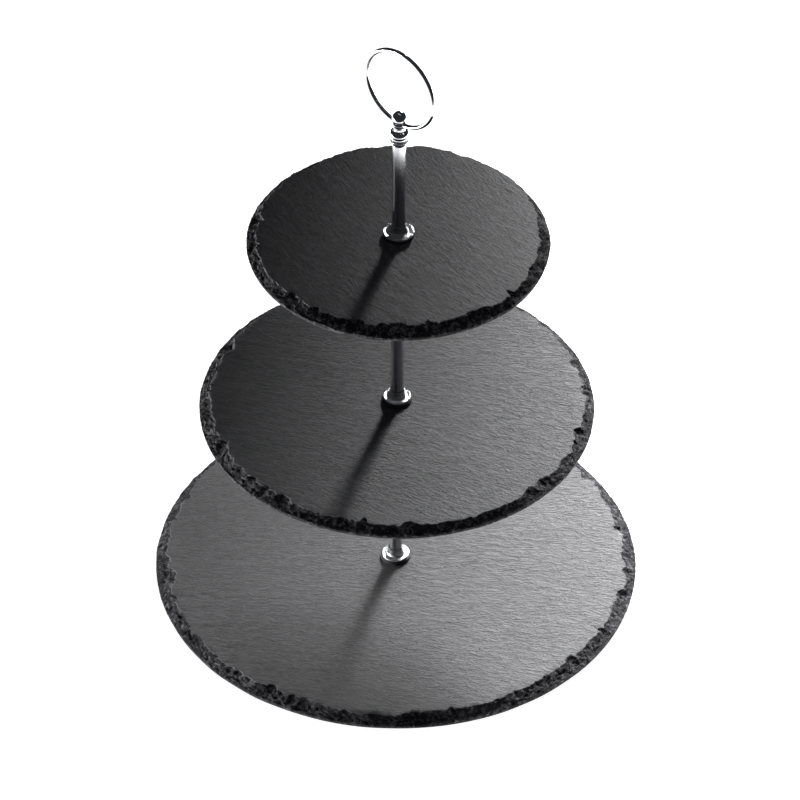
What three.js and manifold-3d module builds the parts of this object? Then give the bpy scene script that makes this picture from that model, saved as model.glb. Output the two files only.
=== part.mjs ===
// A three-tier cake stand: three round slates on a screwed post of chromed tubes, with a ring to carry it by.
// Millimetres, +Z up. The origin is on the table, under the middle of the post.
import * as THREE from 'three'
import { mergeVertices } from 'three/addons/utils/BufferGeometryUtils.js'
import Module from 'manifold-3d'

// ---- Plates ----
const BOTTOM_PLATE_RADIUS = 150
const MIDDLE_PLATE_RADIUS = 121
const TOP_PLATE_RADIUS = 91
const SLATE_THICKNESS = 7
const SLATE_BEVEL_WIDTH = 5          // how far the knapped edge slopes back to the top face
const SLATE_RIM_HEIGHT = 3           // the steep part of the edge, below the knapped slope
const SLATE_RIM_LEAN = 1             // how far the steep part leans in on its way up
const SLATE_UNDERCUT = 0.8           // how far the bottom face stays inside the rim
const SLATE_CHIP_DEPTH = 0.9         // deepest that the outline wanders inside the full circle
const SLATE_BORE_RADIUS = 3.5

// ---- Tiers ----
const LOWER_TIER_PITCH = 128         // bottom plate's top face to middle plate's top face
const UPPER_TIER_PITCH = 128
const HANDLE_POST_HEIGHT = 69        // top plate's top face to the end of the upper rod

// ---- Post ----
const ROD_RADIUS = 4
const FLANGE_RADIUS = 8.5
const HANDLE_FLANGE_RADIUS = 9.5     // the foot of the upper rod is a little wider
const FLANGE_RIM_HEIGHT = 1.4
const FLANGE_GROOVE_DEPTH = 0.2      // how far the dish starts below the top of the rolled rim
const FLANGE_DISH_HEIGHT = 1.7       // of the shallow dish where it turns up into the flare
const FLARE_RADIUS = 6.2             // where the dish turns up
const FLANGE_FLOOR = 1.2
const FLANGE_HEIGHT = 6.5
const FLANGE_LIP = 0.45              // wall left where the flare runs out along the rod
const GASKET_RADIUS = 9.2
const GASKET_THICKNESS = 2
const UNDER_GASKET_THICKNESS = 1.2
const WASHER_RADIUS = 8
const WASHER_THICKNESS = 1.5

// ---- Threads: plain shanks of the thread's outer diameter, in plain holes ----
const THREAD_RADIUS = 2.5
const THREAD_PITCH_DEPTH = 0.4       // depth of the end chamfers
const ROD_TAP_DEPTH = 13
const STUD_ENGAGEMENT = 10
const STUD_END_GAP = 1               // left above the stud in the knob's blind hole

// ---- Base screw and feet ----
const SCREW_HEAD_RADIUS = 4.75
const SCREW_HEAD_HEIGHT = 2.6
const SCREW_HEAD_ROUNDING = 2
const SCREW_SOCKET_ACROSS_FLATS = 3
const SCREW_SOCKET_DEPTH = 1.6
const FOOT_HEIGHT = 7
const FOOT_RADIUS = 7
const FOOT_TIP_RADIUS = 5.5
const FOOT_ROUNDING = 1
const FOOT_CIRCLE_RADIUS = 112
const FOOT_COUNT = 4

// ---- Finial, heights above its own bottom face ----
const FINIAL_SEAT_RADIUS = 4.1
const BEAD_RADIUS = 5.85
const CUP_LIP = 0.5                  // the straight part where the knob sits on the rod
const LOWER_BEAD_TOP = 3.9
const LOWER_BEAD_RADIUS = 5.6
const LOWER_BEAD_HEIGHT = 1.2
const MIDDLE_BEAD_TOP = 7.4
const UPPER_BEAD_TOP = 10.6
const BEAD_GROOVE = 0.7              // how far the grooves cut in between the beads
const GROOVE_HEIGHT = 0.4            // between the middle and the upper bead
const NECK_RADIUS = 3.6
const NECK_RIM_RADIUS = 3.95
const NECK_RIM_SOFTNESS = 0.3
const EYE_HEIGHT = 14.9
const BALL_RADIUS = 4.6
const BALL_ABOVE_EYE = 3.9
const WAIST_RADIUS = 3.2
const EYE_MARGIN = 0.3               // air round the ring's wire in the eye
const FINIAL_TAP_DEPTH = 8

// ---- Ring ----
const RING_RADIUS = 25.5             // of the wire's middle line
const RING_WIRE_RADIUS = 1.5
const RING_TURN = -40                // degrees about +Z, of the ring's plane from the XZ plane

// ---- Clearances ----
const SEAT_GAP = 0.02                // between faces that rest on each other
const FIT_GAP = 0.15                 // round a piece in its hole

const CUT_EXTRA = 1                  // how far a drill runs past the face it enters

// ---- Facets ----
const ROUND_SIDES = 24
const SLATE_SIDES = 96
const RING_STEPS = 56
const RING_WIRE_SIDES = 10

const wasm = await Module()
wasm.setup()

const chrome = { color: 0xc4c6c9, roughness: 0.08, metalness: 1 }
const zinc = { color: 0xa8abae, roughness: 0.35, metalness: 1 }
const rubber = { color: 0x17171a, roughness: 0.75, metalness: 0 }
const slate = { color: 0x3c3d42, roughness: 0.85, metalness: 0 }

const stand = new THREE.Group()

/** Adds a named piece to the stand, at a height above the table. */
function addPiece(name, geometry, finish, z = 0) {
  const mesh = new THREE.Mesh(geometry, new THREE.MeshStandardMaterial(finish))
  mesh.name = name
  mesh.position.z = z
  stand.add(mesh)
  return mesh
}

/** A solid of revolution about +Z from [radius, height] points, listed anticlockwise. */
function turned(points, sides = ROUND_SIDES) {
  const profile = points.map(([r, z]) => new THREE.Vector2(r, z))
  return new THREE.LatheGeometry(profile, sides).rotateX(Math.PI / 2)
}

/** A profile that ends where it starts, as a pierced piece's does. */
function closed(points) {
  return [...points, points[0]]
}

/** Points along an arc of an ellipse in the profile's plane, angles in degrees. */
function ovalArc(r, z, width, height, from, to, steps) {
  const points = []
  for (let i = 0; i <= steps; i += 1) {
    const angle = THREE.MathUtils.degToRad(from + ((to - from) * i) / steps)
    points.push([r + width * Math.cos(angle), z + height * Math.sin(angle)])
  }
  return points
}

/** Points along an arc of a circle in the profile's plane. */
function arc(r, z, radius, from, to, steps) {
  return ovalArc(r, z, radius, radius, from, to, steps)
}

/** A flat ring with a hole for the thread, its bottom face at height 0. */
function flatWasher(radius, thickness) {
  return turned(closed([
    [threadHole, 0],
    [radius, 0],
    [radius, thickness],
    [threadHole, thickness],
  ]))
}

/** A solid that manifold-3d can cut, from a closed geometry. */
function toSolid(geometry) {
  const bare = geometry.clone()
  bare.deleteAttribute('normal')
  bare.deleteAttribute('uv')
  const merged = mergeVertices(bare, 1e-4)
  const mesh = new wasm.Mesh({
    numProp: 3,
    vertProperties: new Float32Array(merged.attributes.position.array),
    triVerts: new Uint32Array(merged.index.array),
  })
  mesh.merge()
  return new wasm.Manifold(mesh)
}

/** The geometry of a solid. */
function toGeometry(solid) {
  const { vertProperties, triVerts } = solid.getMesh()
  const geometry = new THREE.BufferGeometry()
  geometry.setAttribute('position', new THREE.BufferAttribute(vertProperties, 3))
  geometry.setIndex(new THREE.BufferAttribute(triVerts, 1))
  geometry.computeVertexNormals()
  return geometry
}

/** One geometry with another cut away. */
function cut(geometry, tool) {
  return toGeometry(toSolid(geometry).subtract(toSolid(tool)))
}

// ---- Heights that everything is placed from ----
const bottomPlateTop = FOOT_HEIGHT + SEAT_GAP + SLATE_THICKNESS
const middlePlateTop = bottomPlateTop + LOWER_TIER_PITCH
const topPlateTop = middlePlateTop + UPPER_TIER_PITCH
const flangeBottom = SEAT_GAP + GASKET_THICKNESS + SEAT_GAP
const rodBottom = flangeBottom + FLANGE_FLOOR + SEAT_GAP
const underGasketBottom = -SLATE_THICKNESS - SEAT_GAP - UNDER_GASKET_THICKNESS
const washerBottom = underGasketBottom - SEAT_GAP - WASHER_THICKNESS
const rodTopBelowPlate = washerBottom - SEAT_GAP
const threadHole = THREAD_RADIUS + FIT_GAP

/**
 * A round slate with its top face at height 0. The edge is knapped: a steep rim, then a slope back to
 * the top face. The outline wanders inside the full circle, and touches it on the X and Y axes.
 */
function slatePlate(radius, phase) {
  const rimTop = SLATE_RIM_HEIGHT - SLATE_THICKNESS
  const geometry = turned(closed([
    [SLATE_BORE_RADIUS, -SLATE_THICKNESS],
    [radius - SLATE_UNDERCUT, -SLATE_THICKNESS],
    [radius, -SLATE_THICKNESS + SLATE_RIM_HEIGHT / 2],
    [radius - SLATE_RIM_LEAN, rimTop],
    [radius - SLATE_BEVEL_WIDTH, 0],
    [SLATE_BORE_RADIUS, 0],
  ]), SLATE_SIDES)
  const position = geometry.attributes.position
  const bandInside = radius - 2 * SLATE_BEVEL_WIDTH
  for (let i = 0; i < position.count; i += 1) {
    const x = position.getX(i)
    const y = position.getY(i)
    const r = Math.hypot(x, y)
    if (r < bandInside) continue
    const angle = Math.atan2(y, x)
    const wander = 0.5 + 0.3 * Math.sin(7 * angle + phase) + 0.2 * Math.sin(19 * angle + 2 * phase)
    const scale = 1 - (SLATE_CHIP_DEPTH * wander * Math.sin(2 * angle) ** 2) / radius
    position.setXY(i, x * scale, y * scale)
  }
  return geometry
}

/** A chromed tube, tapped from both ends, from the foot flange's floor to its top face. */
function rod(length) {
  const bottomHole = cylinder(threadHole, ROD_TAP_DEPTH + CUT_EXTRA, -CUT_EXTRA)
  const topHole = cylinder(threadHole, ROD_TAP_DEPTH + CUT_EXTRA, length - ROD_TAP_DEPTH)
  const bar = turned([
    [0, 0],
    [ROD_RADIUS - THREAD_PITCH_DEPTH / 2, 0],
    [ROD_RADIUS, THREAD_PITCH_DEPTH / 2],
    [ROD_RADIUS, length - THREAD_PITCH_DEPTH / 2],
    [ROD_RADIUS - THREAD_PITCH_DEPTH / 2, length],
    [0, length],
  ])
  return cut(cut(bar, bottomHole), topHole)
}

/** A plain cylinder standing on a height. */
function cylinder(radius, length, z) {
  return turned([
    [0, z],
    [radius, z],
    [radius, z + length],
    [0, z + length],
  ])
}

/** A rod's foot: a rolled rim round a shallow dish, which turns up in a small flare that hugs the rod. */
function flange(radius) {
  const bore = ROD_RADIUS + FIT_GAP
  const rimHalf = FLANGE_RIM_HEIGHT / 2
  const rimCentre = radius - rimHalf
  const flareWidth = FLARE_RADIUS - bore - FLANGE_LIP
  const flareHeight = FLANGE_HEIGHT - FLANGE_DISH_HEIGHT
  return turned(closed([
    [threadHole, 0],
    ...arc(rimCentre, rimHalf, rimHalf, 270, 450, 4),
    [rimCentre - rimHalf, FLANGE_RIM_HEIGHT - FLANGE_GROOVE_DEPTH],
    ...ovalArc(FLARE_RADIUS, FLANGE_HEIGHT, flareWidth, flareHeight, 270, 180, 5),
    [bore, FLANGE_HEIGHT],
    [bore, FLANGE_FLOOR],
    [threadHole, FLANGE_FLOOR],
  ]))
}

/** A threaded stud between two heights, with chamfered ends. */
function stud(length) {
  return turned([
    [0, 0],
    [THREAD_RADIUS - THREAD_PITCH_DEPTH, 0],
    [THREAD_RADIUS, THREAD_PITCH_DEPTH],
    [THREAD_RADIUS, length - THREAD_PITCH_DEPTH],
    [THREAD_RADIUS - THREAD_PITCH_DEPTH, length],
    [0, length],
  ])
}

/** What stands on a plate: the rubber washer, the rod's foot and the rod. */
function addPost(tier, plateTop, rodTop, footRadius) {
  const length = rodTop - rodBottom
  addPiece(`${tier}_gasket`, flatWasher(GASKET_RADIUS, GASKET_THICKNESS), rubber, plateTop + SEAT_GAP)
  addPiece(`${tier}_flange`, flange(footRadius), chrome, plateTop + flangeBottom)
  addPiece(`${tier}_rod`, rod(length), chrome, plateTop + rodBottom)
}

/** What holds a raised plate: a washer on the end of the rod below, a rubber washer, and the stud through all. */
function addPlateJoint(plate, plateTop) {
  const under = flatWasher(WASHER_RADIUS, UNDER_GASKET_THICKNESS)
  const studBottom = rodTopBelowPlate - STUD_ENGAGEMENT
  const studLength = rodBottom + STUD_ENGAGEMENT - studBottom
  addPiece(`${plate}_washer`, flatWasher(WASHER_RADIUS, WASHER_THICKNESS), chrome, plateTop + washerBottom)
  addPiece(`${plate}_under_gasket`, under, rubber, plateTop + underGasketBottom)
  addPiece(`${plate}_stud`, stud(studLength), zinc, plateTop + studBottom)
}

/** The button-head screw that comes up through the bottom plate, and what lies under its head. */
function addBaseScrew() {
  const shank = rodBottom + STUD_ENGAGEMENT - rodTopBelowPlate
  const headTop = SCREW_HEAD_HEIGHT
  const blank = turned([
    [0, 0],
    ...arc(SCREW_HEAD_RADIUS - SCREW_HEAD_ROUNDING, SCREW_HEAD_ROUNDING, SCREW_HEAD_ROUNDING, 270, 360, 4),
    [SCREW_HEAD_RADIUS, headTop],
    [THREAD_RADIUS, headTop],
    [THREAD_RADIUS, headTop + shank - THREAD_PITCH_DEPTH],
    [THREAD_RADIUS - THREAD_PITCH_DEPTH, headTop + shank],
    [0, headTop + shank],
  ])
  const socketRadius = SCREW_SOCKET_ACROSS_FLATS / 2 / Math.cos(Math.PI / 6)
  const socket = new THREE.CylinderGeometry(socketRadius, socketRadius, SCREW_SOCKET_DEPTH + CUT_EXTRA, 6)
  socket.rotateX(Math.PI / 2)
  socket.translate(0, 0, (SCREW_SOCKET_DEPTH - CUT_EXTRA) / 2)
  const headBottom = bottomPlateTop + rodTopBelowPlate - SCREW_HEAD_HEIGHT
  addPiece('base_screw', cut(blank, socket), zinc, headBottom)
  const washer = flatWasher(WASHER_RADIUS, WASHER_THICKNESS)
  addPiece('base_washer', washer, zinc, bottomPlateTop + washerBottom)
  const gasket = flatWasher(WASHER_RADIUS, UNDER_GASKET_THICKNESS)
  addPiece('base_under_gasket', gasket, rubber, bottomPlateTop + underGasketBottom)
}

/** Rubber bumper feet, on a circle under the bottom plate, halfway between the axes. */
function addFeet() {
  for (let i = 0; i < FOOT_COUNT; i += 1) {
    const angle = ((i + 0.5) / FOOT_COUNT) * 2 * Math.PI
    const foot = addPiece(`foot_${i + 1}`, turned([
      [0, 0],
      [FOOT_TIP_RADIUS - FOOT_ROUNDING, 0],
      ...arc(FOOT_TIP_RADIUS - FOOT_ROUNDING, FOOT_ROUNDING, FOOT_ROUNDING, 290, 360, 3),
      [FOOT_RADIUS, FOOT_HEIGHT],
      [0, FOOT_HEIGHT],
    ]), rubber)
    foot.position.x = FOOT_CIRCLE_RADIUS * Math.cos(angle)
    foot.position.y = FOOT_CIRCLE_RADIUS * Math.sin(angle)
  }
}

/** The turned knob: three beads, a neck with a rim, and a ball, drilled across under the ball for the ring. */
function finial(eyeRadius) {
  const ballCentre = EYE_HEIGHT + BALL_ABOVE_EYE
  const ballStart = -THREE.MathUtils.radToDeg(Math.acos(WAIST_RADIUS / BALL_RADIUS))
  const grooveRadius = BEAD_RADIUS - BEAD_GROOVE
  const middleBead = (LOWER_BEAD_TOP + MIDDLE_BEAD_TOP) / 2
  const middleHalf = (MIDDLE_BEAD_TOP - LOWER_BEAD_TOP) / 2
  const upperBead = MIDDLE_BEAD_TOP + GROOVE_HEIGHT
  const body = turned([
    [0, 0],
    [FINIAL_SEAT_RADIUS, 0],
    [FINIAL_SEAT_RADIUS, CUP_LIP],
    [grooveRadius, LOWER_BEAD_TOP - LOWER_BEAD_HEIGHT],
    [LOWER_BEAD_RADIUS, LOWER_BEAD_TOP - LOWER_BEAD_HEIGHT / 2],
    [grooveRadius, LOWER_BEAD_TOP],
    ...ovalArc(grooveRadius, middleBead, BEAD_GROOVE, middleHalf, -70, 90, 5),
    ...ovalArc(NECK_RADIUS, upperBead, BEAD_RADIUS - NECK_RADIUS, UPPER_BEAD_TOP - upperBead, 0, 90, 5),
    [NECK_RIM_RADIUS, EYE_HEIGHT],
    [NECK_RIM_RADIUS - NECK_RIM_SOFTNESS, EYE_HEIGHT + NECK_RIM_SOFTNESS],
    ...arc(0, ballCentre, BALL_RADIUS, ballStart, 80, 9),
    [0, ballCentre + BALL_RADIUS],
  ])
  const reach = 2 * BEAD_RADIUS
  const eye = cylinder(eyeRadius, reach, -reach / 2)
  eye.rotateY(Math.PI / 2)
  eye.rotateZ(THREE.MathUtils.degToRad(RING_TURN))
  eye.translate(0, 0, EYE_HEIGHT)
  return cut(cut(body, cylinder(threadHole, FINIAL_TAP_DEPTH + CUT_EXTRA, -CUT_EXTRA)), eye)
}

/** The finial with its stud, and the ring in its eye. */
function addHandle() {
  const seat = topPlateTop + HANDLE_POST_HEIGHT + SEAT_GAP
  const sagitta = RING_RADIUS - Math.sqrt(RING_RADIUS ** 2 - BALL_RADIUS ** 2)
  const eyeRadius = RING_WIRE_RADIUS + sagitta + EYE_MARGIN
  const studInFinial = FINIAL_TAP_DEPTH - STUD_END_GAP
  addPiece('finial', finial(eyeRadius), chrome, seat)
  addPiece('finial_stud', stud(studInFinial + STUD_ENGAGEMENT), zinc, seat - STUD_ENGAGEMENT)
  const wire = new THREE.TorusGeometry(RING_RADIUS, RING_WIRE_RADIUS, RING_WIRE_SIDES, RING_STEPS)
  wire.rotateX(Math.PI / 2)
  wire.rotateZ(THREE.MathUtils.degToRad(RING_TURN))
  addPiece('ring_handle', wire, chrome, seat + EYE_HEIGHT + RING_RADIUS)
}

addFeet()
addBaseScrew()
addPiece('bottom_plate', slatePlate(BOTTOM_PLATE_RADIUS, 0.4), slate, bottomPlateTop)
addPost('lower', bottomPlateTop, LOWER_TIER_PITCH + rodTopBelowPlate, FLANGE_RADIUS)
addPlateJoint('middle_plate', middlePlateTop)
addPiece('middle_plate', slatePlate(MIDDLE_PLATE_RADIUS, 1.7), slate, middlePlateTop)
addPost('middle', middlePlateTop, UPPER_TIER_PITCH + rodTopBelowPlate, FLANGE_RADIUS)
addPlateJoint('top_plate', topPlateTop)
addPiece('top_plate', slatePlate(TOP_PLATE_RADIUS, 3.1), slate, topPlateTop)
addPost('upper', topPlateTop, HANDLE_POST_HEIGHT, HANDLE_FLANGE_RADIUS)
addHandle()

export default stand
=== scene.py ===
import math

import bpy
import numpy as np
from mathutils import Matrix, Vector


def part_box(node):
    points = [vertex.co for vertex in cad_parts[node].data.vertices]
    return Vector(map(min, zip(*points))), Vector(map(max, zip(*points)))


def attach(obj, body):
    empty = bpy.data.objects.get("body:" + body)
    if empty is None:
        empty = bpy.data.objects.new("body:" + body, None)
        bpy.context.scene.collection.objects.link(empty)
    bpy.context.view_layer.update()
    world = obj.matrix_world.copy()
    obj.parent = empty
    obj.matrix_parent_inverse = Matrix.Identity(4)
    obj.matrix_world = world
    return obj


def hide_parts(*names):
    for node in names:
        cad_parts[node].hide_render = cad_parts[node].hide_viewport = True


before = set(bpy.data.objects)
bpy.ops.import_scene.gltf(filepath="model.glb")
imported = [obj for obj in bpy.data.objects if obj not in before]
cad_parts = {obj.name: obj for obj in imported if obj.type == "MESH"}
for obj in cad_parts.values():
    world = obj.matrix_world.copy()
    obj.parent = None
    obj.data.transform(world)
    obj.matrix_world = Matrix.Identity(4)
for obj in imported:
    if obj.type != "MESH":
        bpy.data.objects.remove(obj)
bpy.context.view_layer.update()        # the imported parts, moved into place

MM = 0.001

# ---------------------------------------------------------------------------------------------------
# Rubber bumper feet
# Four moulded black rubber buttons, stuck under the bottom slate. They lift the screw head off the
# table. Their sides taper to a softly rounded foot.
# ---------------------------------------------------------------------------------------------------


def soft_corners(corners, steps=5):
    """A profile of (radius, height) points from (radius, height, softness) corners.

    A corner of softness s starts at s before it and ends at s past it, on the curve
    (1 - t)^2 start + 2 t (1 - t) corner + t^2 end.
    """
    points = []
    t = np.linspace(0, 1, steps)[:, None]
    for i, (r, z, softness) in enumerate(corners):
        corner = np.array([r, z])
        if softness == 0:
            points.append(corner[None])
            continue
        before = np.array(corners[i - 1][:2]) - corner
        after = np.array(corners[(i + 1) % len(corners)][:2]) - corner
        start = corner + before * (softness / np.linalg.norm(before))
        end = corner + after * (softness / np.linalg.norm(after))
        points.append((1 - t) ** 2 * start + 2 * t * (1 - t) * corner + t ** 2 * end)
    return np.concatenate(points)


HOLD = 0.07 * MM
LONG_STRETCH = 6 * HOLD


def held(profile, pierced=False):
    """A profile with one more row just inside each end of its long straight stretches, at HOLD from the
    end along the stretch, so that the shading stays flat between them."""
    ends = np.roll(profile, -1, axis=0) if pierced else np.concatenate([profile[1:], profile[-1:]])
    length = np.linalg.norm(ends - profile, axis=1, keepdims=True)
    step = (ends - profile) / np.maximum(length, HOLD) * HOLD
    rows = np.stack([profile, profile + step, ends - step], axis=1)
    keep = np.repeat(length > LONG_STRETCH, 3, axis=1)
    keep[:, 0] = True
    return rows[keep]


SHARP_METAL = math.radians(38)


def grid_piece(name, points, pierced=False):
    """A closed mesh from points[row, column, xyz] whose columns go once round.

    A pierced piece's rows go round too, like a torus. Any other piece's first and last row each
    close on the row's middle point. The faces are turned outwards by the sign of the volume.
    """
    rows, columns = points.shape[:2]
    index = np.arange(rows * columns).reshape(rows, columns)
    onward = np.roll(index, -1, axis=1)
    lower, upper = (index, np.roll(index, -1, axis=0)) if pierced else (index[:-1], index[1:])
    lower_on, upper_on = (onward, np.roll(onward, -1, axis=0)) if pierced else (onward[:-1], onward[1:])
    faces = np.stack([lower, lower_on, upper_on, upper], axis=-1).reshape(-1, 4)
    vertices = points.reshape(-1, 3)
    corners = vertices[faces]
    volume = np.einsum("ij,ij->i", corners[:, 0], np.cross(corners[:, 1], corners[:, 2])).sum()
    volume += np.einsum("ij,ij->i", corners[:, 0], np.cross(corners[:, 2], corners[:, 3])).sum()
    polygons = faces.tolist()
    if not pierced:
        vertices = np.concatenate([vertices, points[0].mean(0)[None], points[-1].mean(0)[None]])
        first, last = rows * columns, rows * columns + 1
        polygons += [[first, b, a] for a, b in zip(index[0].tolist(), onward[0].tolist())]
        polygons += [[last, a, b] for a, b in zip(index[-1].tolist(), onward[-1].tolist())]
    if volume < 0:
        polygons = [polygon[::-1] for polygon in polygons]
    mesh = bpy.data.meshes.new(name)
    mesh.from_pydata(vertices.tolist(), [], polygons)
    mesh.shade_smooth()
    mesh.set_sharp_from_angle(angle=SHARP_METAL)
    piece = bpy.data.objects.new(name, mesh)
    bpy.context.scene.collection.objects.link(piece)
    return piece


def turned_points(profile, columns=96, centre=(0, 0)):
    """Points[row, column] of a profile of (radius, height) turned about an upright line at centre."""
    angle = np.arange(columns) * (2 * math.pi / columns)
    r, z = profile[:, 0, None], profile[:, 1, None]
    x = centre[0] + r * np.cos(angle)
    y = centre[1] + r * np.sin(angle)
    return np.stack([x, y, z + 0 * angle], axis=-1)


def fit_piece(piece, material, body, slot, *nodes):
    """Gives a finished piece its material and the body it rides on, and hides the nodes it stands for. Its
    slot is not used.
    """
    piece.data.materials.append(material)
    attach(piece, body)
    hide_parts(*nodes)


class Wire:
    """One output of a material's nodes. A sum written with wires adds the Math nodes that do it."""

    def __init__(self, finish, socket):
        self.finish = finish
        self.socket = socket

    def math(self, operation, *terms):
        return self.finish.node("Math", {"operation": operation}, dict(enumerate([self, *terms])))

    def __add__(self, other):
        return self.math("ADD", other)

    __radd__ = __add__

    def __sub__(self, other):
        return self.math("SUBTRACT", other)

    def __rsub__(self, other):
        return self * -1 + other

    def __mul__(self, other):
        return self.math("MULTIPLY", other)

    __rmul__ = __mul__

    def rise(self, low, high):
        """0 below low, 1 above high, and a smooth climb between."""
        return self.finish.node("MapRange", {"interpolation_type": "SMOOTHSTEP"},
                                {"Value": self, "From Min": low, "From Max": high})


class Finish:
    """A procedural material: its node tree, with one method that adds any node."""

    def __init__(self, name, **constants):
        self.material = bpy.data.materials.new(name)
        self.material.use_nodes = True
        self.tree = self.material.node_tree
        self.shader = self.tree.nodes["Principled BSDF"]
        for socket, value in constants.items():
            self.shader.inputs[socket.replace("_", " ")].default_value = value
        self.place = self.node("TexCoord", output="Object")

    def node(self, kind, settings=None, sockets=None, output=0):
        """Adds a node of a kind, with its settings first, then the values or wires of its sockets."""
        node = self.tree.nodes.new("ShaderNode" + kind)
        for key, value in (settings or {}).items():
            setattr(node, key, value)
        for key, value in (sockets or {}).items():
            if isinstance(value, Wire):
                self.tree.links.new(value.socket, node.inputs[key])
            else:
                node.inputs[key].default_value = value
        return Wire(self, node.outputs[output])

    def noise(self, scale, detail=2.0, roughness=0.5, vector=None, distortion=0.0):
        """Cloudy noise from 0 to 1, with so many cells to the metre along each axis."""
        spread = self.node("VectorMath", {"operation": "MULTIPLY"}, {0: vector or self.place, 1: scale})
        return self.node("TexNoise", {}, {"Vector": spread, "Scale": 1.0, "Detail": detail,
                                          "Roughness": roughness, "Distortion": distortion})

    def blend(self, factor, first, second):
        """A colour between two."""
        return self.node("Mix", {"data_type": "RGBA"}, {0: factor, 6: first, 7: second}, output=2)

    def feed(self, **wires):
        """Leads wires to the shader's sockets."""
        for socket, wire in wires.items():
            self.tree.links.new(wire.socket, self.shader.inputs[socket.replace("_", " ")])

    def emboss(self, height, depth):
        """Raises the surface by a height from 0 to 1 times a depth in metres."""
        bump = self.node("Bump", {}, {"Height": height, "Distance": depth, "Strength": 1.0})
        self.feed(Normal=bump)


def evenly(scale):
    """The same number of cells to the metre along all three axes."""
    return (scale, scale, scale)


RUBBER_BLACK = (0.010, 0.010, 0.011, 1)
RUBBER_BLOOM = (0.026, 0.026, 0.028, 1)
RUBBER_GRAIN = 0.04 * MM
rubber = Finish("black_rubber", IOR=1.5)
bloom = rubber.noise(evenly(160), detail=4)
grit = rubber.noise(evenly(2400), detail=2)
rubber.feed(Base_Color=rubber.blend(bloom.rise(0.35, 0.75), RUBBER_BLACK, RUBBER_BLOOM),
            Roughness=0.5 + bloom * 0.25)
rubber.emboss(grit, RUBBER_GRAIN)

FOOT_ROUNDING = 1.1 * MM
FOOT_TAPER = 1.5 * MM
FOOT_LIP = 0.5 * MM            # height of the upright band at the top
FOOT_COLUMNS = 72
POLE = 0.35 * MM               # small flat left round the axis, closed on its middle
for number in range(1, 5):
    foot = f"foot_{number}"
    low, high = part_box(foot)
    centre = ((low.x + high.x) / 2, (low.y + high.y) / 2)
    wide = (high.x - low.x) / 2
    narrow = wide - FOOT_TAPER
    profile = soft_corners([
        (POLE, low.z, 0),
        (narrow, low.z, FOOT_ROUNDING),
        (wide - 0.1 * MM, high.z - FOOT_LIP - 0.4 * MM, 0.4 * MM),
        (wide, high.z - FOOT_LIP, 0.1 * MM),
        (wide, high.z, 0.2 * MM),
        (POLE, high.z, 0),
    ])
    bumper = grid_piece(f"{foot}_bumper", turned_points(held(profile), FOOT_COLUMNS, centre))
    fit_piece(bumper, rubber.material, "stand", "rubber", foot)

# ---------------------------------------------------------------------------------------------------
# Slate plates
# Three rounds of natural slate, split along the grain, so that both faces are riven in long low
# ridges. The edge is knapped by hand: a flaked slope under a jagged arris, over a steep rough rim.
# ---------------------------------------------------------------------------------------------------


def lattice(ix, iy, seed):
    """Even pseudo-random numbers from -1 to 1 at whole-number places, by mixing the bits of both."""
    n = (ix.astype(np.int64) * 374761393 + iy.astype(np.int64) * 668265263 + seed * 974634777) & 0xFFFFFFFF
    n = ((n ^ (n >> 13)) * 1274126177) & 0xFFFFFFFF
    return ((n ^ (n >> 16)) & 0xFFFF) / 32767.5 - 1.0


def smooth_noise(x, y, seed, round_x=None):
    """Noise from -1 to 1: four lattice numbers blended by 3 t^2 - 2 t^3 along x and y.

    With round_x, the noise comes back to itself after that many cells along x.
    """
    x0, y0 = np.floor(x), np.floor(y)
    fx, fy = x - x0, y - y0
    fx, fy = fx * fx * (3 - 2 * fx), fy * fy * (3 - 2 * fy)
    x1 = x0 + 1
    if round_x:
        x0, x1 = x0 % round_x, x1 % round_x
    near = lattice(x0, y0, seed) * (1 - fx) + lattice(x1, y0, seed) * fx
    far = lattice(x0, y0 + 1, seed) * (1 - fx) + lattice(x1, y0 + 1, seed) * fx
    return near * (1 - fy) + far * fy


def layered_noise(x, y, seed, layers=4):
    """Noise from about -1 to 1: each layer has cells half as wide as the last and counts half as much."""
    return sum(smooth_noise(x * 2 ** k, y * 2 ** k, seed + k) * 0.5 ** (k + 1) for k in range(layers)) * 1.3


def smooth_step(value, low, high):
    """0 below low, 1 above high, 3 t^2 - 2 t^3 between."""
    t = np.clip((value - low) / (high - low), 0, 1)
    return t * t * (3 - 2 * t)


SLATE_COLUMNS = 900
TOP_ROWS = 70
SLOPE_ROWS = 20
RIM_ROWS = 6
UNDER_ROWS = 9
BORE = 3.5 * MM
SEAT = 10.5 * MM               # ground flat for the rubber washers, out to here
SEAT_BLEND = 5 * MM
RIVEN_DEPTH = 0.55 * MM
RIM_SHARE = 0.40               # of the thickness, below the flaked slope
OUTLINE_WANDER = 0.6 * MM
UNDERCUT = 0.8 * MM
FLAKE = 3.4 * MM               # usual breadth of one knapped facet
FLAKE_DEPTH = 1.3 * MM
CRUMB_DEPTH = 0.3 * MM
PIT_DEPTH = 0.5 * MM           # of the facets on the rim
JAG = 0.6 * MM                 # how far the arris runs in and out
FINE_JAG = 0.5 * MM
ARRIS_DROP = 0.3 * MM
ARRIS_WIDTH = 0.3 * MM         # width of the painted highlight along the arris
LIP = 2.2 * MM                 # over which the face bends down to the arris
LEAST_SLOPE = 0.6 * MM
LEAST_RIM = 0.8 * MM
STONE_RIM = 3 * MM             # height of the rim, near enough
SHARP_STONE = math.radians(32)


def grain_lines(x, y, grain, bend, fan):
    """Lengths along and across the slate's grain, in metres.

    The grain runs at an angle from +X. Its lines curve by bend, in radians to the metre along them, and
    spread like a fan by fan, in radians to the metre across them.
    """
    along = x * math.cos(grain) + y * math.sin(grain)
    across = -x * math.sin(grain) + y * math.cos(grain)
    return along, across + bend * along ** 2 / 2 + fan * along * across


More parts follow.
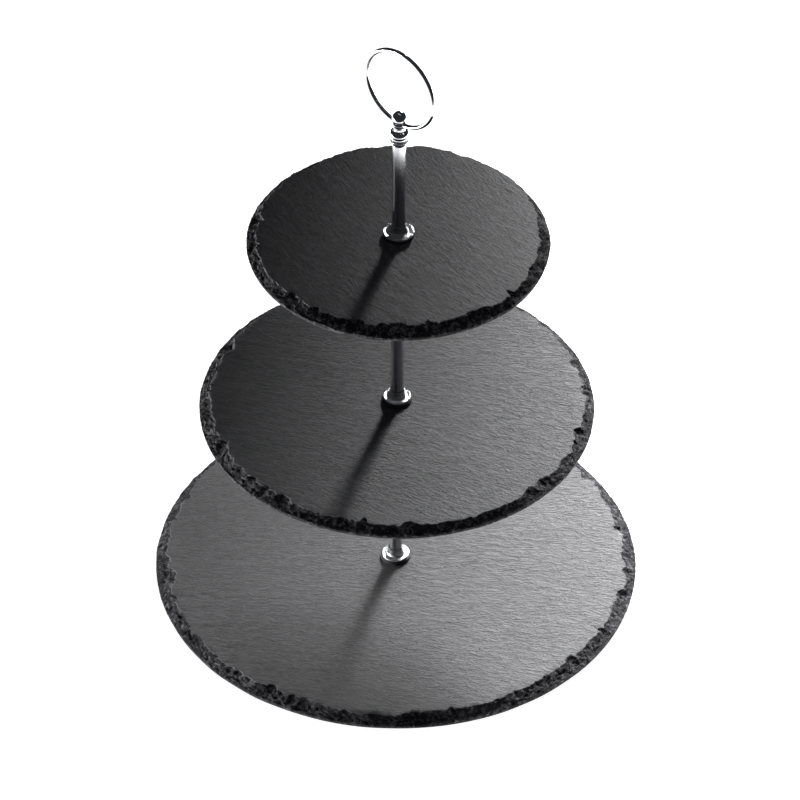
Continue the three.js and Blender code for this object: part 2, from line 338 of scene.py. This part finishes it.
def riven_relief(along, across, seed):
    """How far the riven face lies below its highest ridges, as a share of RIVEN_DEPTH.

    Long ridges, short ridges across a finer pitch, and a slow swell, each drawn out along the grain.
    """
    along, across = along / MM, across / MM
    drift = 1.6 * smooth_noise(along / 17, across / 9, seed + 40)
    long_ridges = layered_noise(along / 15, (across + drift) / 3.9, seed, 3)
    short_ridges = layered_noise(along / 7, (across + drift) / 2.6, seed + 9, 2)
    swell = smooth_noise(along / 50, across / 30, seed + 20)
    return np.clip(0.5 - 0.26 * long_ridges - 0.24 * short_ridges - 0.2 * swell, 0, 1)


def flake_scars(angle, radius, seed, count, width, depth):
    """How much further in than usual the arris runs: bites of width and depth, at random places round
    the edge, each shaped (1 - t^2)^0.6 across its width. The deepest bite counts where some overlap."""
    draw = np.random.default_rng(seed)
    place = draw.uniform(0, 2 * math.pi, count)
    half = draw.uniform(0.2, 1, count) * width / radius
    deep = draw.uniform(0.1, 1, count) ** 1.6 * depth
    apart = np.abs((angle[:, None] - place + math.pi) % (2 * math.pi) - math.pi)
    return (np.clip(1 - (apart / half) ** 2, 0, 1) ** 0.6 * deep).max(axis=1)


def facets(along, down, length, seed):
    """Depth from 0 to 1 of a knapped face over lengths along and down it, along closing after length.

    Each point belongs to the nearest of many random middles and lies on that facet's own tilted plane:
    a random depth, plus a random slope times the way from its middle in both directions.
    """
    draw = np.random.default_rng(seed)
    reach = down.max()
    count = int(2.1 * length * reach / FLAKE ** 2) + 8
    middle = np.stack([draw.uniform(0, length, count), draw.uniform(-0.2, 1.2, count) * reach], axis=-1)
    plane = draw.uniform(-1, 1, (count, 3)) * [0.34, 0.85, 0.85] + [0.42, 0, 0]
    away = (along[..., None] - middle[:, 0] + length / 2) % length - length / 2
    below = down[..., None] - middle[:, 1]
    nearest = np.argmin(away ** 2 + 1.6 * below ** 2, axis=-1)[..., None]
    away = np.take_along_axis(away, nearest, -1)[..., 0]
    below = np.take_along_axis(below, nearest, -1)[..., 0]
    tilt = plane[nearest[..., 0]]
    return np.clip(tilt[..., 0] + (tilt[..., 1] * away + tilt[..., 2] * below) / FLAKE, 0, 1)


def slate_points(radius, low, high, grain, bend, fan, seed, widths):
    """Points[row, column] of a pierced slate, from the bore out along the underside, up the rim and the
    flaked slope, and back in over the riven top face. Also how knapped each point is, from 0 to 1.

    widths are the usual width of the slope at the right, the back, the left and the front.
    """
    angle = np.arange(SLATE_COLUMNS) * (2 * math.pi / SLATE_COLUMNS)
    turn = angle / (2 * math.pi)
    girth = 2 * math.pi * radius
    thick = high - low

    def edge_noise(pitch, step, at=0.0):
        cells = max(int(round(girth / pitch)), 3)
        return smooth_noise(turn * cells, np.full_like(turn, at), seed + step, cells)

    wander = 0.35 + 0.35 * edge_noise(60 * MM, 50) + 0.3 * edge_noise(17 * MM, 51)
    outline = radius - OUTLINE_WANDER * wander.clip(0, 1)
    usual = np.interp(turn, [0, 0.25, 0.5, 0.75, 1], [*widths, widths[0]]) * MM
    scars = flake_scars(angle, radius, seed + 60, int(girth / (11 * MM)), 7 * MM, 0.5)
    jags = JAG * edge_noise(2.9 * MM, 52) + FINE_JAG * edge_noise(1.5 * MM, 53)
    slope = usual * (0.78 + 0.14 * edge_noise(31 * MM, 54) + 0.16 * edge_noise(12 * MM, 57) + scars)
    slope = np.maximum(slope + jags, LEAST_SLOPE)
    arris = outline - slope
    arris_drop = ARRIS_DROP * (0.5 + 0.5 * edge_noise(4.5 * MM, 55))
    rim_top = low + thick * (RIM_SHARE + 0.07 * edge_noise(19 * MM, 58) + 0.06 * edge_noise(7 * MM, 59))

    bore_to_rim = np.linspace(0, 1, UNDER_ROWS)[:, None]
    under_r = BORE + (outline - UNDERCUT - BORE) * bore_to_rim
    share = np.linspace(0, 1, RIM_ROWS + 1)[1:-1, None]
    along_rim = np.broadcast_to(turn * girth, (len(share), len(turn)))
    rim_pits = facets(along_rim, share * STONE_RIM + 0 * turn, girth, seed + 71)
    rim_r = outline - UNDERCUT * (1 - share) ** 2 - PIT_DEPTH * rim_pits * np.sin(math.pi * share) ** 0.5
    rim_z = low + (rim_top - low) * share

    fall = np.linspace(1, 0, SLOPE_ROWS)[:, None]
    hollow = np.clip(1.0 - 0.5 * scars + 0.25 * edge_noise(15 * MM, 56), 0.6, 1.4)
    slope_r = arris + slope * fall
    slope_z = high - arris_drop - (high - arris_drop - rim_top) * fall ** hollow
    down = (1 - fall) * (slope.mean() + thick / 2)
    along_slope = np.broadcast_to(turn * girth, slope_r.shape)
    flaked = facets(along_slope, down + 0 * turn, girth, seed + 81)
    crumbs = np.stack([edge_noise(2.2 * MM, 90 + k, k) for k in range(SLOPE_ROWS)])
    middle = np.sin(math.pi * fall.clip(0.02, 0.96)) ** 0.4
    rough = (FLAKE_DEPTH * flaked + CRUMB_DEPTH * (0.5 - 0.5 * crumbs)) * middle
    slope_r = slope_r - 0.55 * rough
    slope_z = np.maximum(slope_z - 0.8 * rough, low + LEAST_RIM)

    first_row = ARRIS_WIDTH / radius
    inward = np.concatenate([[first_row], np.linspace(0, 1, TOP_ROWS)[1:] ** 0.93])[:, None]
    top_r = arris + (BORE - arris) * inward

    r = np.concatenate([under_r, rim_r, slope_r, top_r])
    x, y = r * np.cos(angle), r * np.sin(angle)
    along, across = grain_lines(x, y, grain, bend, fan)
    seated = smooth_step(r, SEAT, SEAT + SEAT_BLEND)
    relief = riven_relief(along, across, seed) * RIVEN_DEPTH * seated

    first_rim = UNDER_ROWS
    first_slope = first_rim + len(share)
    first_top = first_slope + SLOPE_ROWS
    z = np.empty_like(r)
    z[:first_rim] = low + 0.6 * relief[:first_rim] * (1 - bore_to_rim ** 12)
    z[first_rim:first_slope] = rim_z
    z[first_slope:first_top] = slope_z - relief[first_slope:first_top] * (1 - fall) ** 3
    lip = smooth_step(arris - top_r, 0, LIP)
    z[first_top:] = high - relief[first_top:] - arris_drop * (1 - lip)
    knapped = np.zeros_like(r)
    knapped[first_rim:first_top] = 1.0
    # The arris row is half knapped; the slate's material paints a highlight along it.
    knapped[first_top - 1] = 0.45
    return np.stack([x, y, z], axis=-1), knapped, along, across


def slate_piece(node, grain, bend, fan, seed, widths):
    """Makes a slate in place of its node. A UV map holds its grain lines, an attribute its knapped edge."""
    low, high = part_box(node)
    points, knapped, along, across = slate_points(
        high.x, low.z, high.z, math.radians(grain), bend, fan, seed, widths)
    piece = grid_piece(f"{node}_slate", points, pierced=True)
    mesh = piece.data
    mark = mesh.attributes.new("knapped", "FLOAT", "POINT")
    mark.data.foreach_set("value", knapped.ravel())
    corner = np.empty(len(mesh.loops), np.int32)
    mesh.loops.foreach_get("vertex_index", corner)
    lines = np.stack([along.ravel(), across.ravel()], axis=-1)[corner]
    mesh.uv_layers.new(name="grain").data.foreach_set("uv", lines.ravel())
    mesh.set_sharp_from_angle(angle=SHARP_STONE)
    fit_piece(piece, slate.material, "stand", "slate", node)


# The riven face: painted shade for its cracks and hollows, the grey of its ridges, and a cloudy grey.
SPLIT_CREASE_SHADE = (0.010, 0.0098, 0.013, 1)
SPLIT_GREY = (0.042, 0.041, 0.048, 1)
CLOUD_GREY = (0.038, 0.037, 0.042, 1)
# The knapped edge: painted shade for its hollows, and light grey flecks standing in for lit facets.
BROKEN_HOLLOW_SHADE = (0.006, 0.006, 0.008, 1)
BROKEN_LIT_FLECK_GREY = (0.085, 0.083, 0.092, 1)
# A painted highlight along the arris.
ARRIS_HIGHLIGHT_GREY = (0.16, 0.158, 0.17, 1)
STONE_BUMP = 0.9 * MM
slate = Finish("riven_slate", IOR=1.52)
grain = slate.node("UVMap", {"uv_map": "grain"})
edge = slate.node("Attribute", {"attribute_name": "knapped"}, output="Fac")
split = slate.noise((150, 480, 1), detail=4, roughness=0.7, vector=grain, distortion=0.9)
hair = slate.noise((520, 1050, 1), detail=3, roughness=0.65, vector=grain, distortion=0.6)
rifts = slate.noise((42, 240, 1), detail=4, roughness=0.62, vector=grain, distortion=0.6)
crack = (rifts - 0.5).math("ABSOLUTE").rise(0.0, 0.018)
grit = slate.noise(evenly(1500), detail=3, roughness=0.7)
flake = slate.noise(evenly(480), detail=4, roughness=0.7, distortion=0.5)
chunk = slate.noise(evenly(150), detail=3, roughness=0.65, distortion=1.2)
cloud = slate.noise(evenly(26), detail=3)
steps = split.rise(0.38, 0.44) * 0.3 + split.rise(0.48, 0.53) * 0.35 + split.rise(0.57, 0.62) * 0.35
riven = split * 0.5 + hair * 0.3 + grit * 0.2
chips = flake.rise(0.44, 0.49) * 0.25 + flake.rise(0.55, 0.6) * 0.2 + chunk.rise(0.48, 0.52) * 0.3
split_height = riven * 1.7 + steps * 0.3 + crack * 0.55
broken_height = flake * 0.9 + chunk * 0.7 + grit * 0.25 + chips
# Painted shade: the riven face is dark along the cracks and in the low places of its relief, and grey on
# its ridges.
riven_tone_and_shade = slate.blend(riven.rise(0.38, 0.62) * crack, SPLIT_CREASE_SHADE, SPLIT_GREY)
riven_tone_and_shade = slate.blend(cloud.rise(0.3, 0.75) * 0.35, riven_tone_and_shade, CLOUD_GREY)
# Painted shade and highlight: the knapped edge is dark in the low places of its flaked relief, with light
# flecks standing in for lit facets on its high places.
broken_shade_and_highlight = slate.blend((flake * 0.55 + chunk * 0.45).rise(0.49, 0.58), BROKEN_HOLLOW_SHADE, BROKEN_LIT_FLECK_GREY)
# Painted highlight: a light grey band along the arris, broken up by the cloud noise.
arris_highlight = edge.rise(0.1, 0.4) * (1 - edge.rise(0.5, 0.85)) * cloud.rise(0.35, 0.6)
broken_shade_and_highlight = slate.blend(arris_highlight, broken_shade_and_highlight, ARRIS_HIGHLIGHT_GREY)
slate.feed(Base_Color=slate.blend(edge.rise(0.0, 0.4), riven_tone_and_shade, broken_shade_and_highlight),
           Roughness=0.45 + (1 - riven) * 0.22 + edge * 0.4)
slate.emboss(split_height * (1 - edge) + broken_height * edge, STONE_BUMP)

slate_piece("bottom_plate", grain=-3, bend=0.5, fan=-1.0, seed=11, widths=(8.6, 5.0, 8.2, 8.4))
slate_piece("middle_plate", grain=-14, bend=0.6, fan=-2.2, seed=23, widths=(7.6, 4.0, 7.6, 8.0))
slate_piece("top_plate", grain=-56, bend=-2.4, fan=0.0, seed=37, widths=(6.8, 2.4, 7.4, 8.2))

# ---------------------------------------------------------------------------------------------------
# Rubber washers
# Thin punched rings of black rubber. One lies under each rod's foot and one under each slate, so that
# the metal doesn't bite into the stone when the post is screwed tight. They bulge a little at the edge.
# ---------------------------------------------------------------------------------------------------

THREAD_HOLE = 2.65 * MM
GASKET_EDGE = 0.35 * MM


def punched_ring(node, edge, columns=96):
    """Profile of a flat ring with soft edges, filling its node's box round a threaded hole."""
    low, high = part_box(node)
    profile = soft_corners([
        (THREAD_HOLE, low.z, edge / 2),
        (high.x, low.z, edge),
        (high.x, high.z, edge),
        (THREAD_HOLE, high.z, edge / 2),
    ])
    return turned_points(held(profile, pierced=True), columns)


for node in ("upper_gasket", "middle_gasket", "lower_gasket",
             "top_plate_under_gasket", "middle_plate_under_gasket", "base_under_gasket"):
    fit_piece(grid_piece(f"{node}_ring", punched_ring(node, GASKET_EDGE), pierced=True),
              rubber.material, "stand", "rubber", node)

# ---------------------------------------------------------------------------------------------------
# Chromed tubes, their feet and the support washers
# Drawn steel tubes, tapped at both ends and plated bright. Each stands in a trumpet-shaped pressed foot
# with a rolled rim. A plated washer on the tube's top end carries the slate above.
# ---------------------------------------------------------------------------------------------------

CHROME_DULL = (0.72, 0.73, 0.76, 1)
CHROME_BRIGHT = (0.86, 0.87, 0.89, 1)
CHROME_RIPPLE = 0.04 * MM
chrome = Finish("bright_chrome", Metallic=1.0)
smear = chrome.noise(evenly(90), detail=4, roughness=0.6)
ripple = chrome.noise(evenly(210), detail=2)
polish = chrome.noise((900, 900, 120), detail=2)
chrome.feed(Base_Color=chrome.blend(smear, CHROME_DULL, CHROME_BRIGHT),
            Roughness=0.035 + smear.rise(0.45, 0.8) * 0.07 + polish * 0.02)
chrome.emboss(ripple * 0.8 + polish * 0.2, CHROME_RIPPLE)


def brushed_chrome(name, roughness, turn):
    """Chrome over fine tool marks. They smear a reflection round the piece, or lengthwise with a turn
    of 0.25. The roughness grows by up to 0.015 in hazy places."""
    finish = Finish(name, Metallic=1.0, Anisotropic=0.95, Anisotropic_Rotation=turn)
    haze = finish.noise(evenly(90), detail=4, roughness=0.6)
    finish.feed(Base_Color=finish.blend(haze, CHROME_DULL, CHROME_BRIGHT),
                Roughness=roughness + haze.rise(0.45, 0.8) * 0.015)
    return finish


drawn_chrome = brushed_chrome("drawn_chrome", 0.09, turn=0.25)
pressed_chrome = brushed_chrome("pressed_chrome", 0.22, turn=0)

TAP_DEPTH = 13 * MM
TUBE_CHAMFER = 0.35 * MM
TAP_CHAMFER = 0.1 * MM
TAP_POLE = 0.1 * MM
for tier in ("lower", "middle", "upper"):
    low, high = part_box(f"{tier}_rod")
    tube = soft_corners([
        (TAP_POLE, low.z + TAP_DEPTH, 0),
        (THREAD_HOLE, low.z + TAP_DEPTH, 0),
        (THREAD_HOLE, low.z, TAP_CHAMFER),
        (high.x, low.z, TUBE_CHAMFER),
        (high.x, high.z, TUBE_CHAMFER),
        (THREAD_HOLE, high.z, TAP_CHAMFER),
        (THREAD_HOLE, high.z - TAP_DEPTH, 0),
        (TAP_POLE, high.z - TAP_DEPTH, 0),
    ])
    tube = grid_piece(f"{tier}_rod_tube", turned_points(held(tube)))
    fit_piece(tube, drawn_chrome.material, "stand", "chrome", f"{tier}_rod")

RIM_HEIGHT = 1.4 * MM
FLARE_RADIUS = 6.1 * MM
GROOVE_DROP = 0.25 * MM
DISH_RISE = 0.17
FOOT_FLOOR = 1.2 * MM
FOOT_WALL = 0.45 * MM
TUBE_GAP = 0.15 * MM
FOOT_TURNS = 128               # columns round a pressed foot
for tier in ("lower", "middle", "upper"):
    low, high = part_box(f"{tier}_flange")
    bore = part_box(f"{tier}_rod")[1].x + TUBE_GAP
    roll = RIM_HEIGHT / 2
    turn = np.radians(np.linspace(-90, 118, 18))
    rim = np.stack([high.x - roll + roll * np.cos(turn), low.z + roll + roll * np.sin(turn)], axis=-1)
    groove = high.x - 2.3 * roll
    dish = low.z + RIM_HEIGHT - GROOVE_DROP + DISH_RISE * (groove - FLARE_RADIUS)
    sweep = np.radians(np.linspace(264, 180, 22))
    wide = FLARE_RADIUS - bore - FOOT_WALL
    flare = np.stack([FLARE_RADIUS + wide * np.cos(sweep),
                      high.z + (high.z - dish) * np.sin(sweep)], axis=-1)
    groove_floor = np.array([[groove, low.z + RIM_HEIGHT - GROOVE_DROP]])
    inside = np.array([[bore, high.z], [bore, low.z + FOOT_FLOOR],
                       [THREAD_HOLE, low.z + FOOT_FLOOR], [THREAD_HOLE, low.z]])
    foot = held(np.concatenate([rim, groove_floor, flare, inside]), pierced=True)
    fit_piece(grid_piece(f"{tier}_flange_foot", turned_points(foot, FOOT_TURNS), pierced=True),
              pressed_chrome.material, "stand", "chrome", f"{tier}_flange")

WASHER_EDGE = 0.3 * MM
for node in ("top_plate_washer", "middle_plate_washer"):
    fit_piece(grid_piece(f"{node}_disc", punched_ring(node, WASHER_EDGE), pierced=True),
              chrome.material, "stand", "chrome", node)

# ---------------------------------------------------------------------------------------------------
# Studs, and the screw and washer under the bottom plate
# M5 threads rolled on zinc-plated steel. Two double-ended studs join the tubes through the slates, one
# is fixed in the finial, and a button-head screw with a hexagon socket comes up through the bottom.
# ---------------------------------------------------------------------------------------------------

ZINC_DULL = (0.42, 0.42, 0.43, 1)
ZINC_BRIGHT = (0.66, 0.66, 0.65, 1)
ZINC_GRAIN = 0.01 * MM
zinc = Finish("zinc_plate", Metallic=1.0)
spangle = zinc.noise(evenly(700), detail=3)
dulling = zinc.noise(evenly(130), detail=4)
zinc.feed(Base_Color=zinc.blend(dulling, ZINC_DULL, ZINC_BRIGHT),
          Roughness=0.25 + dulling.rise(0.3, 0.8) * 0.2 + spangle * 0.08)
zinc.emboss(spangle, ZINC_GRAIN)

PITCH = 0.8 * MM
THREAD_DEPTH = 0.46 * MM
THREAD_COLUMNS = 36
ROWS_A_PITCH = 9


def threaded(low, high, radius):
    """Points[row, column] of a right-hand thread, radius - depth * V, where V climbs from 0 on the crest
    to 1 in the root with the share of a turn, height / pitch - angle / 2 pi. Both ends run out in a
    cone."""
    rows = int(math.ceil((high - low) / PITCH * ROWS_A_PITCH)) + 1
    z = np.linspace(low, high, rows)[:, None]
    angle = np.arange(THREAD_COLUMNS) * (2 * math.pi / THREAD_COLUMNS)
    share = (z / PITCH - angle / (2 * math.pi)) % 1
    valley = np.clip(1.2 * (1 - np.abs(2 * share - 1)) - 0.15, 0, 1)
    r = radius - THREAD_DEPTH * valley
    end = np.minimum(z - low, high - z)
    r = np.minimum(r, radius - THREAD_DEPTH - 0.1 * MM + 1.1 * end)
    return np.stack([r * np.cos(angle), r * np.sin(angle), z + 0 * angle], axis=-1)


for node, body in (("finial_stud", "finial_screw"), ("top_plate_stud", "stand"),
                   ("middle_plate_stud", "stand")):
    low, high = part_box(node)
    fit_piece(grid_piece(f"{node}_thread", threaded(low.z, high.z, high.x)),
              zinc.material, body, "zinc_plate", node)

HEAD_HEIGHT = 2.6 * MM
SOCKET_HALF = 1.5 * MM
SOCKET_DEPTH = 1.6 * MM
SHANK_RADIUS = 2.5 * MM
DOME = 2.2 * MM                # radius of the head's rounding
HEAD_EDGE = 0.15 * MM
BASE_WASHER_EDGE = 0.25 * MM
low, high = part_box("base_screw")
shank = threaded(low.z + HEAD_HEIGHT, high.z, SHANK_RADIUS)
angle = np.arange(THREAD_COLUMNS) * (2 * math.pi / THREAD_COLUMNS)
hexagon = SOCKET_HALF / np.cos((angle + math.pi / 6) % (math.pi / 3) - math.pi / 6)
floor_z, face_z = low.z + SOCKET_DEPTH, low.z
socket = [(hexagon * 0.1, floor_z + 0.2 * MM), (hexagon * 0.97, floor_z), (hexagon, floor_z - 0.1 * MM),
          (hexagon, face_z + HEAD_EDGE), (hexagon + HEAD_EDGE, face_z)]
dome = np.radians(np.linspace(-90, 0, 10))
button = [((high.x - DOME) + DOME * math.cos(a) + 0 * angle, low.z + DOME * (1 + math.sin(a)))
          for a in dome]
collar = [(high.x + 0 * angle, low.z + HEAD_HEIGHT - HEAD_EDGE),
          (high.x - HEAD_EDGE + 0 * angle, low.z + HEAD_HEIGHT)]
head = np.stack([np.stack([r * np.cos(angle), r * np.sin(angle), z + 0 * angle], axis=-1)
                 for r, z in socket + button + collar])
fit_piece(grid_piece("base_screw_button", np.concatenate([head, shank])),
          zinc.material, "stand", "zinc_plate", "base_screw")
fit_piece(grid_piece("base_washer_disc", punched_ring("base_washer", BASE_WASHER_EDGE), pierced=True),
          zinc.material, "stand", "zinc_plate", "base_washer")

# ---------------------------------------------------------------------------------------------------
# Finial
# Turned from one bar and plated: a cup, two beads and a groove between them, a waisted neck with a rim,
# and a ball. The eye for the ring is drilled across, just under the ball.
# ---------------------------------------------------------------------------------------------------

EYE_HEIGHT = 14.9 * MM
BALL = 4.6 * MM
BALL_ABOVE_EYE = 3.9 * MM
EYE_RADIUS = 2.2 * MM
BEAD = 5.85 * MM
GROOVE = 5.05 * MM
NECK = 3.6 * MM
NECK_RIM = 3.95 * MM
FINIAL_TAP = 8 * MM
DRILL_REACH = 8 * MM
FINIAL_COLUMNS = 128
SHARP_TURNING = math.radians(34)

low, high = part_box("finial")
seat = low.z


def oval(r, z, wide, tall, start, stop, steps):
    """Points on an oval about (r, z), from one angle to another in degrees."""
    turn = np.radians(np.linspace(start, stop, steps))
    return np.stack([r + wide * np.cos(turn), z + tall * np.sin(turn)], axis=-1)


ball_z = EYE_HEIGHT + BALL_ABOVE_EYE
waist = -math.degrees(math.acos(3.2 * MM / BALL))
knob = np.concatenate([
    [[0.05 * MM, FINIAL_TAP], [THREAD_HOLE, FINIAL_TAP], [THREAD_HOLE, 0], [3.95 * MM, 0]],
    oval(3.95 * MM, 0.15 * MM, 0.15 * MM, 0.15 * MM, -60, 0, 3),
    [[4.15 * MM, 0.6 * MM], [4.55 * MM, 1.4 * MM], [4.95 * MM, 2.3 * MM]],
    oval(GROOVE, 3.05 * MM, 0.6 * MM, 0.55 * MM, -75, 75, 12),
    oval(GROOVE - 0.1 * MM, 5.65 * MM, BEAD - GROOVE + 0.1 * MM, 1.7 * MM, -82, 84, 22),
    oval(NECK, 7.8 * MM, BEAD - NECK, 2.75 * MM, -7, 84, 24),
    [[NECK + 0.04 * MM, 10.9 * MM], [NECK + 0.05 * MM, 12 * MM], [NECK + 0.13 * MM, 13.2 * MM]],
    [[NECK_RIM - 0.08 * MM, EYE_HEIGHT - 0.45 * MM]],
    oval(NECK_RIM - 0.2 * MM, EYE_HEIGHT, 0.2 * MM, 0.3 * MM, -50, 90, 8),
    oval(0, ball_z, BALL, BALL, waist, 88.5, 40),
])
body = grid_piece("finial_knob_turned", turned_points(held(knob) + [0, seat], FINIAL_COLUMNS))
ring_low, ring_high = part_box("ring_handle")
ring_turn = -math.atan2(ring_high.y, ring_high.x)
drill = np.array([[0.02 * MM, -DRILL_REACH], [EYE_RADIUS, -DRILL_REACH],
                  [EYE_RADIUS, DRILL_REACH], [0.02 * MM, DRILL_REACH]])
tool = grid_piece("eye_drill", turned_points(drill, 64))
tool.data.transform(Matrix.Translation((0, 0, seat + EYE_HEIGHT)) @ Matrix.Rotation(ring_turn, 4, "Z")
                    @ Matrix.Rotation(math.radians(90), 4, "Y"))
cut = body.modifiers.new("eye", "BOOLEAN")
cut.operation, cut.solver, cut.object = "DIFFERENCE", "EXACT", tool
drilled = bpy.data.meshes.new_from_object(body.evaluated_get(bpy.context.evaluated_depsgraph_get()))
body.modifiers.clear()
body.data = drilled
bpy.data.objects.remove(tool)
drilled.shade_smooth()
drilled.set_sharp_from_angle(angle=SHARP_TURNING)
fit_piece(body, chrome.material, "finial_knob", "chrome", "finial")

# ---------------------------------------------------------------------------------------------------
# Carrying ring
# Bright plated steel wire, bent round and closed through the finial's eye. It stands up on the tight
# fit of the wire in the eye.
# ---------------------------------------------------------------------------------------------------

WIRE = 1.5 * MM
RING_STEPS = 192
WIRE_STEPS = 28
ring_middle = (ring_low.z + ring_high.z) / 2
ring_radius = (ring_high.z - ring_low.z) / 2 - WIRE
round_ring = np.arange(RING_STEPS)[:, None] * (2 * math.pi / RING_STEPS)
round_wire = np.arange(WIRE_STEPS)[None] * (2 * math.pi / WIRE_STEPS)
reach = ring_radius + WIRE * np.cos(round_wire)
flat = reach * np.cos(round_ring)
depth = WIRE * np.sin(round_wire) + 0 * round_ring
ring_points = np.stack([
    flat * math.cos(ring_turn) - depth * math.sin(ring_turn),
    flat * math.sin(ring_turn) + depth * math.cos(ring_turn),
    ring_middle + reach * np.sin(round_ring),
], axis=-1)
fit_piece(grid_piece("ring_handle_wire", ring_points, pierced=True),
          chrome.material, "ring", "chrome", "ring_handle")

# ---------------------------------------------------------------------------------------------------
# Table, light and camera
# A plain white table in a dim room, against a white backdrop. Two lamps behind on the right, a soft one
# above the front and three low strips light the stand. The camera looks down on it through a long lens.
# ---------------------------------------------------------------------------------------------------

TABLE_HALF_WIDTH = 1.8
TABLE_FRONT = -0.62
TABLE_BACK = 2.2
TABLE_DULL = (0.50, 0.50, 0.50, 1)
TABLE_WHITE = (0.54, 0.54, 0.54, 1)
TABLE_GLOW = 0.96
table = Finish("white_table", Roughness=0.9, IOR=1.3)
paper = table.noise(evenly(3), detail=2)
table.feed(Base_Color=table.blend(paper, TABLE_DULL, TABLE_WHITE))
table.shader.inputs["Emission Color"].default_value = (1, 1, 1, 1)
table.shader.inputs["Emission Strength"].default_value = TABLE_GLOW
floor_mesh = bpy.data.meshes.new("table_top")
corners = [(-TABLE_HALF_WIDTH, TABLE_FRONT, 0), (TABLE_HALF_WIDTH, TABLE_FRONT, 0),
           (TABLE_HALF_WIDTH, TABLE_BACK, 0), (-TABLE_HALF_WIDTH, TABLE_BACK, 0)]
floor_mesh.from_pydata(corners, [], [(0, 1, 2, 3)])
floor = bpy.data.objects.new("table_top", floor_mesh)
floor_mesh.materials.append(table.material)
bpy.context.scene.collection.objects.link(floor)

ROOM_COLOUR = (0.9, 0.93, 1.0, 1)
ROOM_LIGHT = 0.03
BACKDROP_LIGHT = 1.0
world = bpy.data.worlds.new("studio")
bpy.context.scene.world = world
world.use_nodes = True
tree = world.node_tree
tree.nodes.clear()
seen = tree.nodes.new("ShaderNodeLightPath")
room = tree.nodes.new("ShaderNodeBackground")
room.inputs["Color"].default_value = ROOM_COLOUR
room.inputs["Strength"].default_value = ROOM_LIGHT
backdrop = tree.nodes.new("ShaderNodeBackground")
backdrop.inputs["Color"].default_value = (1, 1, 1, 1)
backdrop.inputs["Strength"].default_value = BACKDROP_LIGHT
choose = tree.nodes.new("ShaderNodeMixShader")
out = tree.nodes.new("ShaderNodeOutputWorld")
tree.links.new(seen.outputs["Is Camera Ray"], choose.inputs[0])
tree.links.new(room.outputs[0], choose.inputs[1])
tree.links.new(backdrop.outputs[0], choose.inputs[2])
tree.links.new(choose.outputs[0], out.inputs["Surface"])


def around(azimuth, elevation, distance):
    """A place about the middle slate. Azimuth 0 is behind the stand and 90 on its right."""
    a, e = math.radians(azimuth), math.radians(elevation)
    away = Vector((math.sin(a) * math.cos(e), math.cos(a) * math.cos(e), math.sin(e)))
    return Vector((0, 0, middle_top)) + away * distance


def soft_lamp(name, place, size, power, aim, spread=180):
    """A flat lamp at a place, turned to an aim. Its rays leave within half the spread, in degrees."""
    light = bpy.data.lights.new(name, "AREA")
    light.shape = "RECTANGLE"
    light.size, light.size_y = size
    light.energy = power
    light.spread = math.radians(spread)
    lamp = bpy.data.objects.new(name, light)
    lamp.location = place
    lamp.rotation_mode = "QUATERNION"
    lamp.rotation_quaternion = (lamp.location - Vector(aim)).to_track_quat("Z", "Y")
    lamp.visible_camera = False
    bpy.context.scene.collection.objects.link(lamp)
    return lamp


middle_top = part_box("middle_plate")[1].z
KEY_PLACE = around(21.1, 27.1, 1.22)
KEY_SIZE = (0.24, 0.24)
soft_lamp("key_lamp", KEY_PLACE, KEY_SIZE, 9.0, (0.52, 0.10, 0), spread=62)
soft_lamp("low_key_lamp", KEY_PLACE, KEY_SIZE, 16.0, (0.60, 0.20, -0.2), spread=70)
fill = soft_lamp("fill_lamp", around(180, 70, 1.6), (1.6, 1.6), 5, (0, 0, middle_top))
fill.visible_glossy = False

# Long strips standing low round the stand. Of the slates' top faces only the bottom one can see them.
# The one on the left also catches the tubes and the knapped edges.
for name, place, size, power in (("back_strip", (0, 0.5, 0.09), (1.2, 0.1), 1.6),
                                 ("right_strip", (0.4, 0.6, 0.09), (0.6, 0.1), 3.5),
                                 ("left_strip", (-0.95, -0.04, 0.03), (0.5, 0.035), 18)):
    soft_lamp(name, place, size, power, (0, 0, 0))

CAMERA_DISTANCE = 3.5806
CAMERA_ELEVATION = math.radians(40.26)
CAMERA_ROLL = math.radians(0.53)
CAMERA_ASIDE = 1.8 * MM
CAMERA_AIM = middle_top - 0.5 * MM
SENSOR = 36
LENS = 264.3
lens = bpy.data.cameras.new("camera")
lens.sensor_width = SENSOR
lens.lens = LENS
lens.clip_start, lens.clip_end = 0.1, 100
camera = bpy.data.objects.new("camera", lens)
back = Vector((0, -math.cos(CAMERA_ELEVATION), math.sin(CAMERA_ELEVATION)))
camera.matrix_world = (Matrix.Translation(Vector((CAMERA_ASIDE, 0, CAMERA_AIM)) + back * CAMERA_DISTANCE)
                       @ back.to_track_quat("Z", "Y").to_matrix().to_4x4()
                       @ Matrix.Rotation(CAMERA_ROLL, 4, "Z"))
bpy.context.scene.collection.objects.link(camera)
bpy.context.scene.camera = camera
bpy.context.scene.view_settings.view_transform = "Standard"
bpy.context.scene.view_settings.look = "None"
